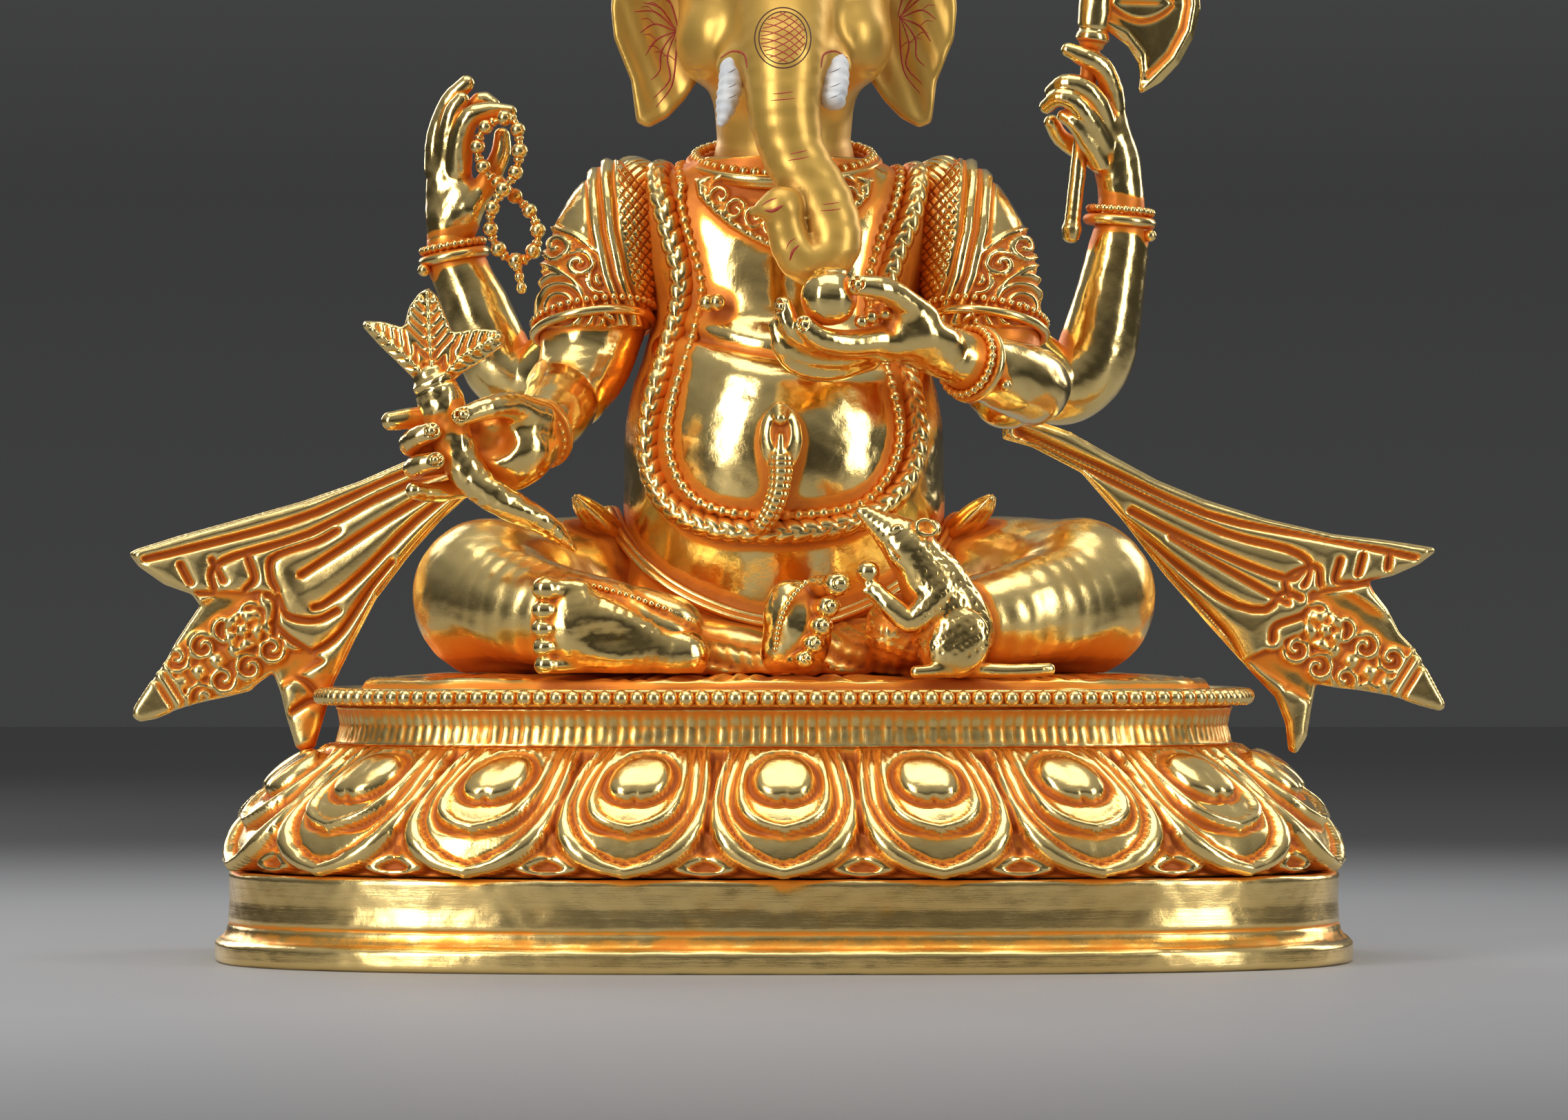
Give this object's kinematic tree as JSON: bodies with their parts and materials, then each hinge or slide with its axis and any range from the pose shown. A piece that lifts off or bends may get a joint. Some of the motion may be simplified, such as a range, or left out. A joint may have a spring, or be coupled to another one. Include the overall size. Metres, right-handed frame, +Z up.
{
  "type": "ganesha idol",
  "caption": "Gilded seated four-armed elephant-headed deity on a beaded lotus pedestal, with a lift-off crown and an axe that draws out of the fist.",
  "frame": {"origin": "centre of the pedestal's foot, on the surface it stands on", "axes": "+X towards the figure's left hand side, +Z up, and the figure faces -Y"},
  "size_m": [0.351, 0.196, 0.33],
  "materials": {
    "gilt_metal": "polished fire-gilding, orange patina in the recesses",
    "matte_gold_paint": "matte cold gold paint with red brush lines",
    "white_paint": "matte ivory paint",
    "bare_copper": "bare hammered copper"
  },
  "bodies": {
    "statue": {"bead_garland": "gilt_metal", "beaded_rim": "gilt_metal", "collar_necklace": "gilt_metal", "fixing_pin_left": "bare_copper", "fixing_pin_right": "bare_copper", "front_left_bracelet": "gilt_metal", "front_right_bracelet": "gilt_metal", "girdle": "gilt_metal", "head": "matte_gold_paint", "laddu": "gilt_metal", "left_armlet": "gilt_metal", "left_ear": "matte_gold_paint", "left_foot": "gilt_metal", "left_forearm": "gilt_metal", "left_hand": "gilt_metal", "left_leg": "gilt_metal", "left_sash": "gilt_metal", "left_sleeve": "gilt_metal", "left_tusk": "white_paint", "lotus_ring": "gilt_metal", "neck_beads": "gilt_metal", "plinth": "gilt_metal", "radish_leaves": "gilt_metal", "radish_root": "gilt_metal", "rat": "gilt_metal", "rear_left_arm": "gilt_metal", "rear_left_bracelet": "gilt_metal", "rear_left_hand": "gilt_metal", "rear_right_arm": "gilt_metal", "rear_right_bracelet": "gilt_metal", "rear_right_hand": "gilt_metal", "right_armlet": "gilt_metal", "right_ear": "matte_gold_paint", "right_foot": "gilt_metal", "right_forearm": "gilt_metal", "right_hand": "gilt_metal", "right_leg": "gilt_metal", "right_sash": "gilt_metal", "right_sleeve": "gilt_metal", "right_tusk": "white_paint", "rosary": "gilt_metal", "sealing_plate": "bare_copper", "seat_cloth": "gilt_metal", "serpent_thread": "gilt_metal", "stamen_drum": "gilt_metal", "topknot": "gilt_metal", "torso": "gilt_metal"},
    "crown": {"crown": "gilt_metal"},
    "axe": {"axe_head": "gilt_metal", "axe_shaft": "gilt_metal"}
  },
  "joints": [
    {"name": "crown_lift", "type": "slide", "parent": "statue", "child": "crown", "axis": [0, 0, 1], "range_m": [0, 0.07]},
    {"name": "axe_draw", "type": "slide", "parent": "statue", "child": "axe", "axis": [0.1093, 0, 0.994], "range_m": [0, 0.055]}
  ]
}
